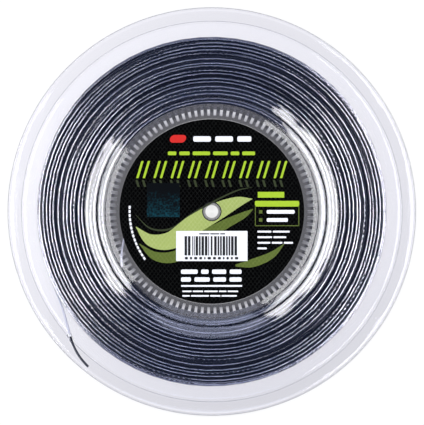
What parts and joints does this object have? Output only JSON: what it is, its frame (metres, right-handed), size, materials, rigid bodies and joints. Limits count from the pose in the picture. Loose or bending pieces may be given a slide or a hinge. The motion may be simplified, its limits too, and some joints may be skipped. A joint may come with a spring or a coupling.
{
  "type": "string reel",
  "caption": "Clear two-flange reel of racket string with a ribbed drum, a centre bore, a round face label and the string's free end through a slot.",
  "frame": {"origin": "on the reel's axis at the rear hub panel's outer face, which the reel lies on", "axes": "+Z along the reel's axis out of the labelled front, +Y towards the top of the label, +X to its right"},
  "size_m": [0.244, 0.244, 0.028],
  "materials": {
    "clear_plastic": "clear moulded polystyrene, polished",
    "string": "grey-blue polyester monofilament, glossy",
    "label_film": "black printed film with a fine cross-hatch",
    "white_paper": "white thermal paper with black bars",
    "security_film": "dark teal metallised film"
  },
  "bodies": {
    "root": {"front_flange": "clear_plastic", "rear_flange": "clear_plastic", "drum_sleeve": "clear_plastic", "spigot_ring": "clear_plastic", "spindle_tube": "clear_plastic", "string_winding": "string", "string_tail": "string", "string_start": "string", "face_label": "label_film", "barcode_sticker": "white_paper", "security_sticker": "security_film"}
  },
  "joints": []
}
